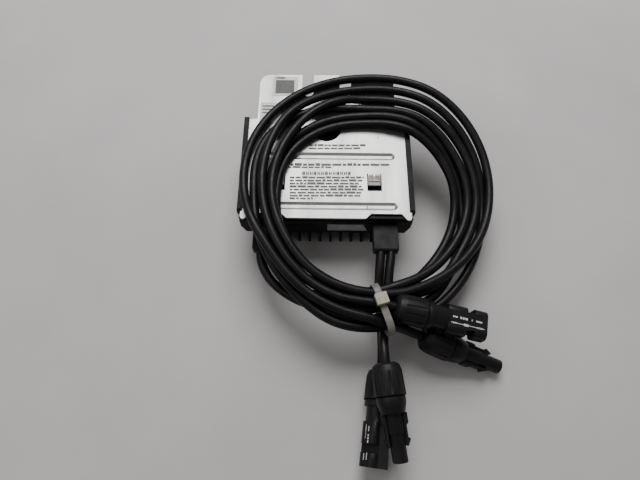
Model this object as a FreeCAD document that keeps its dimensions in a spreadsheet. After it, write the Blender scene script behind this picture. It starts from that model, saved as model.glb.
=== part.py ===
import FreeCAD, Part
import math
import os
import Sketcher
from FreeCAD import Matrix, Placement, Rotation, Vector

# Solar power optimizer: a finned black housing with a stamped mounting bracket, two cable
# glands, a short input pair and a long wound output pair, each cable with its connector.
# Millimetres, +Z up, +Y away from the cable side. The origin is on the ground under the
# middle of the housing, bracket and glands.

os.makedirs("parts", exist_ok=True)
doc = FreeCAD.newDocument("power_optimizer")

# Driving sizes: alias, value in mm (or a plain count), what it is.
sizes = [
    ("overall_width", 129.0, "over the side rails"),
    ("overall_height", 42.5, "fin tips to rail lips"),
    ("bracket_depth", 131.9, "front edge to the end of the tab"),
    ("gland_reach", 21.1, "how far a gland stands out of the front wall"),
    ("housing_depth", 88.0, "front wall to back wall"),
    ("fin_height", 18.0, "under the floor"),
    ("fin_thickness", 1.7, "each fin"),
    ("fin_pitch", 8.03, "fin to fin"),
    ("fin_count", 12, "fins"),
    ("fin_tip_round", 0.5, "rounding along each fin tip"),
    ("wall", 3.0, "housing walls"),
    ("floor_thickness", 2.6, "housing floor"),
    ("rail_width", 4.0, "rail seen from above"),
    ("rail_lip", 0.9, "lip over the bracket"),
    ("rail_foot", 4.0, "rail under the bracket edge"),
    ("rail_setback", 5.0, "front wall to the rail's front end"),
    ("rail_nose", 2.0, "slope on the rail's front end"),
    ("tub_inset", 1.5, "housing side behind the rail's outer face"),
    ("corner_slope", 3.2, "sloped lower edges of the housing"),
    ("corner_rise", 9.5, "height of the sloped lower edges"),
    ("wall_step", 0.7, "front wall band set back under the bracket"),
    ("wall_step_drop", 3.6, "height of that band"),
    ("wall_bar_height", 2.0, "raised bar on the front wall"),
    ("wall_bar_drop", 10.1, "top of the wall to the raised bar"),
    ("wall_bar_near", 7.0, "middle to the bar's near end"),
    ("wall_bar_far", 30.0, "middle to the bar's far end"),
    ("wall_bar_stand", 0.6, "how far the bar stands out"),
    ("sheet", 1.5, "bracket sheet"),
    ("bracket_play", 0.12, "bracket edge to its rail"),
    ("plate_half_width", 62.0, "bracket plate, middle to edge"),
    ("plate_depth", 87.0, "front edge to the shoulders of the tab"),
    ("tab_half_width", 54.5, "bracket tab, middle to edge"),
    ("tab_corner", 9.0, "round corners of the tab"),
    ("slot_offset", 15.15, "middle to each open slot"),
    ("slot_width", 9.1, "open slots of the tab"),
    ("slot_depth", 22.0, "open slots, to their round end"),
    ("hole_diameter", 22.0, "round hole of the plate"),
    ("hole_depth_place", 77.4, "front edge to the round hole"),
    ("window_inner", 30.6, "middle to a window's near side"),
    ("window_width", 10.4, "windows"),
    ("window_front", 23.0, "front edge to the windows"),
    ("window_length", 14.6, "windows"),
    ("tongue_length", 9.2, "bent tongue in each window"),
    ("tongue_gap", 0.5, "tongue's side to the window's side"),
    ("tongue_drop", 1.6, "how far the tongue's tip is bent down"),
    ("bead_length", 104.0, "stamped beads"),
    ("bead_width", 6.4, "stamped beads, at the top face"),
    ("bead_depth", 1.2, "stamped beads"),
    ("front_bead_place", 10.0, "front edge to the front bead"),
    ("rear_bead_place", 52.8, "front edge to the rear bead"),
    ("notch_inner", 28.7, "middle to a notch's near end"),
    ("notch_margin", 4.3, "a notch's far end to the plate's edge"),
    ("notch_slope", 4.0, "length of a notch's sloped near end"),
    ("notch_depth", 3.9, "notches over the glands"),
    ("lobe_reach", 1.0, "plate corners in front of the front edge"),
    ("gland_offset", 43.6, "middle to each gland"),
    ("gland_width", 18.3, "strain relief block"),
    ("gland_height", 9.0, "strain relief block"),
    ("gland_top", 33.4, "top of the strain relief block"),
    ("gland_chamfer", 1.1, "edges of the block's cable end"),
    ("gland_flange", 1.4, "flange inside the wall"),
    ("gland_lap", 1.5, "block and flange past the wall's opening"),
    ("gland_play", 0.15, "gland in the wall's opening"),
    ("cable_pitch", 7.5, "the two cables of a gland"),
    ("cable_diameter", 6.6, "cable sheath"),
    ("conductor_diameter", 3.0, "wire inside the housing"),
    ("lid_thickness", 3.2, "housing lid"),
    ("lid_gap", 0.3, "beads of the bracket over the lid"),
    ("lid_play", 0.3, "lid to the housing walls"),
    ("lid_seat_width", 2.0, "ledge that carries the lid"),
    ("lid_pocket", 1.8, "pockets in the lid under the tongues"),
    ("gasket_thickness", 1.0, "gasket under the lid's rim"),
    ("board_thickness", 1.6, "circuit board"),
    ("board_side_gap", 4.0, "board to the housing at the sides"),
    ("board_front_gap", 3.0, "board to the housing at the front"),
    ("board_back_gap", 5.0, "board to the housing at the back"),
    ("board_lift", 3.2, "floor to the board's underside"),
    ("boss_diameter", 7.0, "bosses under the board"),
    ("boss_inset", 6.0, "board's edge to the bosses' middle"),
    ("screw_diameter", 3.0, "board screws"),
    ("screw_length", 4.4, "board screws under the head"),
    ("screw_head", 5.6, "board screw heads"),
    ("screw_head_height", 1.6, "board screw heads"),
    ("screw_play", 0.1, "screw in its holes"),
    ("pad_width", 56.0, "thermal pad"),
    ("pad_depth", 34.0, "thermal pad"),
    ("pad_thickness", 1.0, "thermal pad"),
    ("core_width", 30.0, "inductor core"),
    ("core_depth", 24.0, "inductor core"),
    ("core_height", 8.0, "inductor core"),
    ("core_leg", 4.0, "outer legs and plates of the core"),
    ("core_post", 9.0, "round middle leg of the core"),
    ("winding_play", 0.4, "winding to the core"),
    ("film_width", 7.5, "film capacitors"),
    ("film_depth", 15.0, "film capacitors"),
    ("film_height", 7.8, "film capacitors"),
    ("film_pitch", 9.0, "film capacitors"),
    ("film_place", 16.0, "board's side to the film capacitors"),
    ("can_diameter", 7.6, "electrolytic capacitors, lying"),
    ("can_length", 16.0, "electrolytic capacitors"),
    ("can_pitch", 9.0, "electrolytic capacitors"),
    ("can_place", 20.0, "board's side to the first of them"),
    ("transistor_size", 9.6, "power transistors"),
    ("transistor_height", 2.3, "power transistors"),
    ("transistor_pitch", 13.0, "power transistors"),
    ("transistor_front", 6.0, "board's front edge to the transistors"),
    ("diode_place", 28.0, "board's side to the bypass diode"),
    ("chip_size", 9.0, "control chip"),
    ("chip_height", 1.4, "control chip"),
    ("chip_place", 18.0, "board's side to the control chip"),
    ("terminal_size", 5.0, "wire terminals"),
    ("terminal_height", 3.4, "wire terminals"),
    ("nut_diameter", 20.6, "cap nuts of the connectors"),
    ("nut_rear_diameter", 12.6, "cap nuts at the cable end"),
    ("nut_length", 20.5, "cap nuts"),
    ("nut_round", 5.6, "rounded rear of the cap nuts"),
    ("nut_wall", 1.9, "cap nuts"),
    ("groove_count", 12, "grip grooves of a cap nut"),
    ("groove_width", 1.3, "grip grooves"),
    ("groove_depth", 0.7, "grip grooves"),
    ("connector_play", 0.25, "thread, seal and contact clearances"),
    ("seal_start", 5.0, "rear of the nut to the seal"),
    ("seal_length", 8.5, "rubber seal in the nut"),
    ("collar_length", 4.2, "ring in front of the cap nut"),
    ("collar_diameter", 19.0, "ring in front of the cap nut"),
    ("tube_type_length", 60.4, "connector with the tube, over all"),
    ("tube_diameter", 9.8, "its tube"),
    ("tube_bore", 6.0, "its tube's bore"),
    ("taper_end", 31.5, "end of its tapered body"),
    ("taper_diameter", 15.6, "tapered body at its narrow end"),
    ("latch_base_end", 43.5, "end of the latch base"),
    ("latch_base_diameter", 11.4, "latch base"),
    ("latch_end", 51.0, "tips of the latch arms"),
    ("latch_width", 5.4, "latch arms"),
    ("latch_thickness", 1.5, "latch arms"),
    ("latch_offset", 6.9, "axis to the latch arms' outer face"),
    ("latch_wing", 1.4, "how far the arms' roots stand out"),
    ("latch_wing_length", 6.0, "the arms' wide roots"),
    ("latch_hook", 1.4, "hooks of the latch arms"),
    ("sleeve_type_length", 62.3, "connector with the sleeve, over all"),
    ("sleeve_start", 35.0, "start of its wide sleeve"),
    ("neck_diameter", 15.6, "its body behind the sleeve"),
    ("sleeve_width", 20.0, "its sleeve, across the windows"),
    ("sleeve_height", 13.4, "its sleeve, the other way"),
    ("sleeve_round", 4.6, "rounding of the sleeve's long edges"),
    ("sleeve_bore", 10.4, "its sleeve's bore"),
    ("sleeve_bore_depth", 24.0, "its sleeve's bore"),
    ("window_start", 48.5, "latch windows, from the rear"),
    ("window_span", 5.4, "latch windows, along the sleeve"),
    ("window_cut", 4.0, "latch windows, into the sleeve"),
    ("pin_diameter", 4.0, "pin and socket contacts"),
    ("tie_width", 4.8, "cable tie strap"),
    ("tie_thickness", 1.2, "cable tie strap"),
    ("tie_inner_width", 34.5, "loop of the tie, inside"),
    ("tie_inner_height", 13.8, "loop of the tie, inside"),
    ("tie_head_width", 8.2, "head of the tie"),
    ("tie_head_length", 7.6, "head of the tie"),
    ("tie_head_height", 4.6, "head of the tie"),
    ("tie_head_place", 4.5, "middle of the tie to its head"),
]

sheet = doc.addObject("Spreadsheet::Sheet", "Sizes")
for line, (alias, number, note) in enumerate(sizes, start=1):
    sheet.set(f"A{line}", alias)
    sheet.set(f"B{line}", str(number))
    sheet.set(f"C{line}", note)
    sheet.setAlias(f"B{line}", alias)
doc.recompute()


class Size:
    # A length that keeps its formula, so that a property can be bound to the sheet by it.
    def __init__(self, number, formula):
        self.number = number
        self.formula = formula

    def __add__(self, other):
        other = asSize(other)
        return Size(self.number + other.number, f"({self.formula} + {other.formula})")

    def __sub__(self, other):
        other = asSize(other)
        return Size(self.number - other.number, f"({self.formula} - {other.formula})")

    def __mul__(self, other):
        other = asSize(other)
        return Size(self.number * other.number, f"({self.formula} * {other.formula})")

    def __truediv__(self, other):
        other = asSize(other)
        return Size(self.number / other.number, f"({self.formula} / {other.formula})")

    def __neg__(self):
        return Size(-self.number, f"(0 - {self.formula})")


def asSize(value):
    if isinstance(value, Size):
        return value
    return Size(float(value), f"({float(value):.9f})")


cell = {alias: Size(float(number), f"Sizes.{alias}") for alias, number, note in sizes}


def bind(thing, **properties):
    for name, size in properties.items():
        thing.setExpression(name, asSize(size).formula)


def place(thing, x=0, y=0, z=0):
    for axis, size in (("x", x), ("y", y), ("z", z)):
        thing.setExpression(f"Placement.Base.{axis}", asSize(size).formula)


# Levels and planes that several pieces share
front = (cell["gland_reach"] - cell["bracket_depth"]) / 2
housing_back = front + cell["housing_depth"]
rail_outer = cell["overall_width"] / 2
tub_side = rail_outer - cell["tub_inset"]
floor_under = cell["fin_height"]
floor_top = floor_under + cell["floor_thickness"]
plate_top = cell["overall_height"] - cell["rail_lip"]
plate_under = plate_top - cell["sheet"]
tub_top = plate_under
lid_top = plate_under - cell["bead_depth"] - cell["lid_gap"]
lid_under = lid_top - cell["lid_thickness"]
lid_seat = lid_under - cell["gasket_thickness"]
cavity_side = tub_side - cell["wall"]
cavity_front = front + cell["wall"]
cavity_back = housing_back - cell["wall"]
board_under = floor_top + cell["board_lift"]
board_top = board_under + cell["board_thickness"]
board_half = cavity_side - cell["lid_seat_width"] - cell["board_side_gap"]
board_front = cavity_front + cell["lid_seat_width"] + cell["board_front_gap"]
board_back = cavity_back - cell["lid_seat_width"] - cell["board_back_gap"]
board_middle = (board_front + board_back) / 2
gland_bottom = cell["gland_top"] - cell["gland_height"]
gland_axis = cell["gland_top"] - cell["gland_height"] / 2
gland_front = front - cell["gland_reach"]
opening_half = cell["gland_width"] / 2 - cell["gland_lap"]
opening_bottom = gland_bottom + cell["gland_lap"]
opening_top = cell["gland_top"] - cell["gland_lap"]


def newBody(label):
    body = doc.addObject("PartDesign::Body", label)
    body.Label = label
    return body


def originPlane(body, role):
    return [feature for feature in body.Origin.OriginFeatures if feature.Role == role][0]


def newSketch(body, name, role, lift=0):
    # A sketch on one of the body's own origin planes, lifted along the plane's normal.
    sketch = body.newObject("Sketcher::SketchObject", name)
    sketch.AttachmentSupport = [(originPlane(body, role), "")]
    sketch.MapMode = "FlatFace"
    sketch.setExpression("AttachmentOffset.Base.z", asSize(lift).formula)
    return sketch


def fixPoint(sketch, line, end, x, y):
    # Ties a point of the sketch to the origin by two bound distances.
    for kind, size in (("DistanceX", asSize(x)), ("DistanceY", asSize(y))):
        number = sketch.addConstraint(Sketcher.Constraint(kind, -1, 1, line, end, size.number))
        sketch.setExpression(f"Constraints[{number}]", size.formula)


def addPolygon(sketch, corners):
    # A closed outline of straight lines through corners given as sizes.
    corners = [(asSize(x), asSize(y)) for x, y in corners]
    lines = []
    for (x1, y1), (x2, y2) in zip(corners, corners[1:] + corners[:1]):
        start = Vector(x1.number, y1.number, 0)
        end = Vector(x2.number, y2.number, 0)
        lines.append(sketch.addGeometry(Part.LineSegment(start, end)))
    for line, following in zip(lines, lines[1:] + lines[:1]):
        sketch.addConstraint(Sketcher.Constraint("Coincident", line, 2, following, 1))
    for line, (x, y) in zip(lines, corners):
        fixPoint(sketch, line, 1, x, y)


def addBox(sketch, x1, x2, y1, y2):
    addPolygon(sketch, [(x1, y1), (x2, y1), (x2, y2), (x1, y2)])


def addRing(sketch, x, y, diameter):
    x, y, diameter = asSize(x), asSize(y), asSize(diameter)
    circle = Part.Circle(Vector(x.number, y.number, 0), Vector(0, 0, 1), diameter.number / 2)
    number = sketch.addGeometry(circle)
    fixPoint(sketch, number, 3, x, y)
    size = sketch.addConstraint(Sketcher.Constraint("Diameter", number, diameter.number))
    sketch.setExpression(f"Constraints[{size}]", diameter.formula)


def addPill(sketch, x1, x2, y, width):
    # A slot outline with round ends, its long way along the sketch's x.
    x1, x2, y, width = asSize(x1), asSize(x2), asSize(y), asSize(width)
    half = width / 2
    ends = [x1 + half, x2 - half]
    centres = [Vector(end.number, y.number, 0) for end in ends]
    up = Vector(0, half.number, 0)
    low = sketch.addGeometry(Part.LineSegment(centres[0] - up, centres[1] - up))
    axis = Vector(0, 0, 1)
    right_circle = Part.Circle(centres[1], axis, half.number)
    right = sketch.addGeometry(Part.ArcOfCircle(right_circle, -math.pi / 2, math.pi / 2))
    high = sketch.addGeometry(Part.LineSegment(centres[1] + up, centres[0] + up))
    left_circle = Part.Circle(centres[0], axis, half.number)
    left = sketch.addGeometry(Part.ArcOfCircle(left_circle, math.pi / 2, 1.5 * math.pi))
    for first, end, second, start in ((low, 2, right, 1), (right, 2, high, 1), (high, 2, left, 1),
                                      (left, 2, low, 1)):
        sketch.addConstraint(Sketcher.Constraint("Coincident", first, end, second, start))
    fixPoint(sketch, low, 1, ends[0], y - half)
    fixPoint(sketch, low, 2, ends[1], y - half)
    fixPoint(sketch, high, 1, ends[1], y + half)
    fixPoint(sketch, high, 2, ends[0], y + half)
    for arc, middle in ((left, ends[0]), (right, ends[1])):
        number = sketch.addConstraint(Sketcher.Constraint("DistanceX", -1, 1, arc, 3, middle.number))
        sketch.setExpression(f"Constraints[{number}]", middle.formula)


def pad(body, sketch, length, name, reverse=False, taper=0):
    feature = body.newObject("PartDesign::Pad", name)
    feature.Profile = sketch
    feature.Reversed = reverse
    feature.TaperAngle = taper
    bind(feature, Length=length)
    return feature


def pocket(body, sketch, length, name, reverse=False, taper=0):
    feature = body.newObject("PartDesign::Pocket", name)
    feature.Profile = sketch
    feature.Reversed = reverse
    feature.TaperAngle = taper
    bind(feature, Length=length)
    return feature


def turned(body, name, role, axis, corners, cut=False):
    # A full turn of a profile about the body's own axis.
    sketch = newSketch(body, f"{name}_profile", role)
    addPolygon(sketch, corners)
    kind = "PartDesign::Groove" if cut else "PartDesign::Revolution"
    feature = body.newObject(kind, name)
    feature.Profile = sketch
    feature.ReferenceAxis = (originPlane(body, axis), [""])
    feature.Angle = 360
    return feature


def roundEdges(body, feature, radius, choose, name, chamfer=False):
    # Rounds (or slopes) the edges of the feature whose ends and middle choose() accepts.
    doc.recompute()
    names = []
    for number, edge in enumerate(feature.Shape.Edges, start=1):
        middle = edge.valueAt((edge.FirstParameter + edge.LastParameter) / 2)
        along = edge.tangentAt((edge.FirstParameter + edge.LastParameter) / 2)
        if choose(middle, along):
            names.append(f"Edge{number}")
    dressed = body.newObject("PartDesign::Chamfer" if chamfer else "PartDesign::Fillet", name)
    dressed.Base = (feature, names)
    if chamfer:
        bind(dressed, Size=radius)
    else:
        bind(dressed, Radius=radius)
    return dressed


def mirrored(body, features, name):
    # The same features again on the other side of the middle plane.
    doc.recompute()
    feature = body.newObject("PartDesign::Mirrored", name)
    feature.Originals = features
    feature.MirrorPlane = (originPlane(body, "YZ_Plane"), [""])
    body.Tip = feature
    return feature


def makeHousing():
    body = newBody("heat_sink_housing")
    slope = cell["corner_slope"]
    rise = cell["corner_rise"]
    outline = newSketch(body, "tub_outline", "XZ_Plane", -front)
    addPolygon(outline, [
        (-tub_side + slope, floor_under), (tub_side - slope, floor_under),
        (tub_side, floor_under + rise), (tub_side, tub_top),
        (-tub_side, tub_top), (-tub_side, floor_under + rise)])
    pad(body, outline, cell["housing_depth"], "tub", reverse=True)

    step = newSketch(body, "front_step_outline", "XZ_Plane", -front)
    addBox(step, -tub_side, tub_side, tub_top - cell["wall_step_drop"], tub_top)
    pocket(body, step, cell["wall_step"], "front_step")

    bar = newSketch(body, "front_bar_outline", "XZ_Plane", -front)
    bar_top = tub_top - cell["wall_bar_drop"]
    addBox(bar, -cell["wall_bar_far"], -cell["wall_bar_near"], bar_top - cell["wall_bar_height"],
           bar_top)
    pad(body, bar, cell["wall_bar_stand"], "front_bar")

    seat = cell["lid_seat_width"]
    well = newSketch(body, "lid_well_outline", "XY_Plane", tub_top)
    addBox(well, -cavity_side, cavity_side, cavity_front, cavity_back)
    pocket(body, well, tub_top - lid_seat, "lid_well")
    cavity = newSketch(body, "cavity_outline", "XY_Plane", lid_seat)
    addBox(cavity, -cavity_side + seat, cavity_side - seat, cavity_front + seat, cavity_back - seat)
    pocket(body, cavity, lid_seat - floor_top, "cavity")

    for side, name in ((-1, "output"), (1, "input")):
        middle = cell["gland_offset"] * side
        opening = newSketch(body, f"{name}_gland_outline", "XZ_Plane", -front)
        addBox(opening, middle - opening_half, middle + opening_half, opening_bottom, opening_top)
        pocket(body, opening, cell["wall"] + seat, f"{name}_gland_opening")

    bosses = newSketch(body, "boss_outline", "XY_Plane", floor_top)
    for x, y in screwPlaces():
        addRing(bosses, x, y, cell["boss_diameter"])
    pad(body, bosses, cell["board_lift"], "bosses")
    holes = newSketch(body, "boss_hole_outline", "XY_Plane", board_under)
    for x, y in screwPlaces():
        addRing(holes, x, y, cell["screw_diameter"] + cell["screw_play"] * 2)
    pocket(body, holes, cell["screw_length"], "boss_holes")

    pedestal = newSketch(body, "pedestal_outline", "XY_Plane", floor_top)
    half_width = cell["pad_width"] / 2
    half_depth = cell["pad_depth"] / 2
    addBox(pedestal, -half_width, half_width, board_middle - half_depth, board_middle + half_depth)
    pad(body, pedestal, cell["board_lift"] - cell["pad_thickness"], "pedestal")

    makeRails(body)
    makeFins(body)
    return body


def makeRails(body):
    # A C-shaped rail on each side holds the bracket's edge.
    play = cell["bracket_play"]
    rail_front = front + cell["rail_setback"]
    inner = rail_outer - cell["rail_width"]
    groove = cell["plate_half_width"] + play
    rail = newSketch(body, "rail_outline", "XZ_Plane", -rail_front)
    addPolygon(rail, [
        (tub_side, tub_top - cell["rail_foot"]), (rail_outer, tub_top - cell["rail_foot"]),
        (rail_outer, cell["overall_height"]), (inner, cell["overall_height"]),
        (inner, plate_top + play), (groove, plate_top + play), (groove, tub_top),
        (tub_side, tub_top)])
    length = cell["housing_depth"] - cell["rail_setback"]
    feature = pad(body, rail, length, "rail", reverse=True)
    nose = newSketch(body, "rail_nose_outline", "YZ_Plane", inner)
    addPolygon(nose, [
        (rail_front, plate_top + play), (rail_front + cell["rail_nose"], cell["overall_height"]),
        (rail_front, cell["overall_height"])])
    cut = pocket(body, nose, cell["rail_width"], "rail_nose", reverse=True)
    mirrored(body, [feature, cut], "rails")


def makeFins(body):
    count = cell["fin_count"]
    first = cell["fin_pitch"] * (count - 1) / -2
    half = cell["fin_thickness"] / 2
    tip = cell["fin_tip_round"]
    outline = newSketch(body, "fin_outline", "XZ_Plane", -front)
    addPolygon(outline, [
        (first - half, floor_under), (first - half, tip), (first - half + tip, 0),
        (first + half - tip, 0), (first + half, tip), (first + half, floor_under)])
    fin = pad(body, outline, cell["housing_depth"], "fin", reverse=True)
    doc.recompute()
    fins = body.newObject("PartDesign::LinearPattern", "fins")
    fins.Originals = [fin]
    fins.Direction = (originPlane(body, "X_Axis"), [""])
    bind(fins, Length=cell["fin_pitch"] * (count - 1), Occurrences=count)
    body.Tip = fins


def screwPlaces():
    across = board_half - cell["boss_inset"]
    near = board_front + cell["boss_inset"]
    far = board_back - cell["boss_inset"]
    return [(-across, near), (across, near), (-across, far), (across, far)]


def makeLid():
    body = newBody("housing_lid")
    play = cell["lid_play"]
    outline = newSketch(body, "lid_outline", "XY_Plane", lid_under)
    addBox(outline, -cavity_side + play, cavity_side - play, cavity_front + play, cavity_back - play)
    pad(body, outline, cell["lid_thickness"], "lid")
    pockets = newSketch(body, "lid_pocket_outline", "XY_Plane", lid_top)
    for side in (-1, 1):
        near = cell["window_inner"] - 1
        far = cell["window_inner"] + cell["window_width"] + 1
        y1 = front + cell["window_front"] - 1
        y2 = front + cell["window_front"] + cell["window_length"] + 1
        if side > 0:
            addBox(pockets, near, far, y1, y2)
        else:
            addBox(pockets, -far, -near, y1, y2)
    pocket(body, pockets, cell["lid_pocket"], "lid_pockets")
    return body


def makeGasket():
    body = newBody("lid_gasket")
    play = cell["lid_play"]
    seat = cell["lid_seat_width"] - play
    outline = newSketch(body, "gasket_outline", "XY_Plane", lid_seat)
    x2 = cavity_side - play
    y1 = cavity_front + play
    y2 = cavity_back - play
    addBox(outline, -x2, x2, y1, y2)
    addBox(outline, -x2 + seat, x2 - seat, y1 + seat, y2 - seat)
    pad(body, outline, cell["gasket_thickness"], "gasket")
    return body


def makeBracket():
    # One stamped sheet: plate, tab, two open slots, a hole, two windows with bent tongues,
    # two beads and notches over the glands.
    body = newBody("mounting_bracket")
    half = cell["plate_half_width"]
    tab = cell["tab_half_width"]
    deep = front + cell["notch_depth"]
    shoulder = front + cell["plate_depth"]
    end = front + cell["bracket_depth"]
    lobe = front - cell["lobe_reach"]
    notch_outer = half - cell["notch_margin"]
    right = [
        (cell["notch_inner"], front), (cell["notch_inner"] + cell["notch_slope"], deep),
        (notch_outer - cell["notch_slope"] * 0.75, deep), (notch_outer, front),
        (notch_outer + 1, lobe), (half - 1, lobe), (half, front + 1),
        (half, shoulder), (tab, shoulder), (tab, end)]
    left = [(-x, y) for x, y in reversed(right)]
    outline = newSketch(body, "plate_outline", "XY_Plane", plate_under)
    addPolygon(outline, right + left)
    plate = pad(body, outline, cell["sheet"], "plate")
    doc.recompute()

    def tabCorner(middle, along):
        return (abs(along.z) > 0.9 and abs(abs(middle.x) - tab.number) < 0.01
                and abs(middle.y - end.number) < 0.01)

    roundEdges(body, plate, cell["tab_corner"], tabCorner, "tab_corners")

    cuts = newSketch(body, "slot_outline", "XY_Plane", plate_top)
    wide = cell["slot_width"] / 2
    for side in (-1, 1):
        middle = cell["slot_offset"] * side
        addBox(cuts, middle - wide, middle + wide, end - cell["slot_depth"] + wide, end + 1)
    pocket(body, cuts, cell["sheet"], "slots")
    ends = newSketch(body, "slot_end_outline", "XY_Plane", plate_top)
    for side in (-1, 1):
        addRing(ends, cell["slot_offset"] * side, end - cell["slot_depth"] + wide, cell["slot_width"])
    addRing(ends, 0, front + cell["hole_depth_place"], cell["hole_diameter"])
    near = front + cell["window_front"]
    far = near + cell["window_length"]
    for side in (-1, 1):
        x1 = cell["window_inner"]
        x2 = cell["window_inner"] + cell["window_width"]
        if side > 0:
            addBox(ends, x1, x2, near, far)
        else:
            addBox(ends, -x2, -x1, near, far)
    openings = pocket(body, ends, cell["sheet"], "openings")

    gap = cell["tongue_gap"]
    tip = far - cell["tongue_length"]
    drop = cell["tongue_drop"]
    tongue_side = newSketch(body, "tongue_outline", "YZ_Plane", cell["window_inner"] + gap)
    addPolygon(tongue_side, [
        (far, plate_under), (far, plate_top), (far - 2, plate_top),
        (tip, plate_top - drop), (tip, plate_under - drop), (far - 2, plate_under)])
    tongue = pad(body, tongue_side, cell["window_width"] - gap * 2, "tongue")
    mirrored(body, [tongue], "tongues")

    reach = cell["bead_length"] / 2
    width = cell["bead_width"]
    for name, depth_place in (("front_bead", cell["front_bead_place"]),
                              ("rear_bead", cell["rear_bead_place"])):
        y = front + depth_place
        under = newSketch(body, f"{name}_under_outline", "XY_Plane", plate_under)
        addPill(under, -reach - 0.4, reach + 0.4, y, width + 0.8)
        pad(body, under, cell["bead_depth"], f"{name}_under", reverse=True, taper=-60)
        top = newSketch(body, f"{name}_outline", "XY_Plane", plate_top)
        addPill(top, -reach, reach, y, width)
        pocket(body, top, cell["bead_depth"], name, taper=-60)
    return body


def makeGland(label, side):
    # Rubber grommet: a strain relief block in front of the wall, a neck through the wall's
    # opening and a flange inside.
    body = newBody(label)
    middle = cell["gland_offset"] * side
    half = cell["gland_width"] / 2
    play = cell["gland_play"]
    neck = newSketch(body, f"{label}_neck_outline", "XZ_Plane", -front)
    addBox(neck, middle - opening_half + play, middle + opening_half - play,
           opening_bottom + play, opening_top - play)
    pad(body, neck, cell["wall"] + cell["lid_seat_width"] + play, "neck", reverse=True)
    block = newSketch(body, f"{label}_block_outline", "XZ_Plane", -front)
    addBox(block, middle - half, middle + half, gland_bottom, cell["gland_top"])
    solid = pad(body, block, cell["gland_reach"], "block")

    def cableEnd(point, along):
        return abs(point.y - gland_front.number) < 0.01

    roundEdges(body, solid, cell["gland_chamfer"], cableEnd, "cable_end", chamfer=True)
    inside = newSketch(body, f"{label}_inner_flange_outline", "XZ_Plane",
                       -(cavity_front + cell["lid_seat_width"] + play))
    addBox(inside, middle - half, middle + half, gland_bottom, cell["gland_top"])
    pad(body, inside, cell["gland_flange"], "inner_flange", reverse=True)
    return body


def makeBoard():
    body = newBody("circuit_board")
    outline = newSketch(body, "board_outline", "XY_Plane", board_under)
    addBox(outline, -board_half, board_half, board_front, board_back)
    for x, y in screwPlaces():
        addRing(outline, x, y, cell["screw_diameter"] + cell["screw_play"] * 2)
    pad(body, outline, cell["board_thickness"], "board")
    return body


def boxNode(label, boxes):
    # A node of one or more separate blocks, each (x, y, z, width, depth, height) by its corner.
    solids = []
    for number, (x, y, z, width, depth, height) in enumerate(boxes):
        box = doc.addObject("Part::Box", f"{label}_{number}")
        bind(box, Length=width, Width=depth, Height=height)
        place(box, x, y, z)
        solids.append(box)
    return gathered(label, solids)


def gathered(label, solids):
    if len(solids) == 1:
        solids[0].Label = label
        return solids[0]
    group = doc.addObject("Part::Compound", label)
    group.Links = solids
    group.Label = label
    return group


def cylinder(name, x, y, z, diameter, length):
    thing = doc.addObject("Part::Cylinder", name)
    bind(thing, Radius=asSize(diameter) / 2, Height=length)
    place(thing, x, y, z)
    return thing


def makeScrews():
    solids = []
    for number, (x, y) in enumerate(screwPlaces()):
        length = cell["screw_length"] - cell["screw_play"]
        under = board_top - length
        shank = cylinder(f"shank_{number}", x, y, under, cell["screw_diameter"], length)
        head = cylinder(f"head_{number}", x, y, board_top, cell["screw_head"],
                        cell["screw_head_height"])
        screw = doc.addObject("Part::Fuse", f"screw_{number}")
        screw.Base = shank
        screw.Tool = head
        solids.append(screw)
    return gathered("board_screws", solids)


def makePad():
    return boxNode("thermal_pad", [(
        -cell["pad_width"] / 2, board_middle - cell["pad_depth"] / 2,
        board_under - cell["pad_thickness"], cell["pad_width"], cell["pad_depth"],
        cell["pad_thickness"])])


def makeInductor():
    # A ferrite core with a round middle leg, and the flat winding around that leg.
    width, depth = cell["core_width"], cell["core_depth"]
    height, leg = cell["core_height"], cell["core_leg"]
    x = -width / 2
    y = board_middle - depth / 2
    block = doc.addObject("Part::Box", "core_block")
    bind(block, Length=width, Width=depth, Height=height)
    place(block, x, y, board_top)
    room = doc.addObject("Part::Box", "core_room")
    bind(room, Length=width - leg * 2, Width=depth + 2, Height=height - leg)
    place(room, x + leg, y - 1, board_top + leg / 2)
    frame = doc.addObject("Part::Cut", "core_frame")
    frame.Base = block
    frame.Tool = room
    post = cylinder("core_post", 0, board_middle, board_top + leg / 4, cell["core_post"],
                    height - leg / 2)
    core = doc.addObject("Part::Fuse", "inductor_core")
    core.Base = frame
    core.Tool = post
    core.Label = "inductor_core"
    play = cell["winding_play"]
    outer = cylinder("winding_outer", 0, board_middle, board_top + leg / 2 + play,
                     width - leg * 2 - play * 2, height - leg - play * 2)
    inner = cylinder("winding_inner", 0, board_middle, board_top, cell["core_post"] + play * 2,
                     height)
    winding = doc.addObject("Part::Cut", "inductor_winding")
    winding.Base = outer
    winding.Tool = inner
    winding.Label = "inductor_winding"
    return [core, winding]


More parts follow.
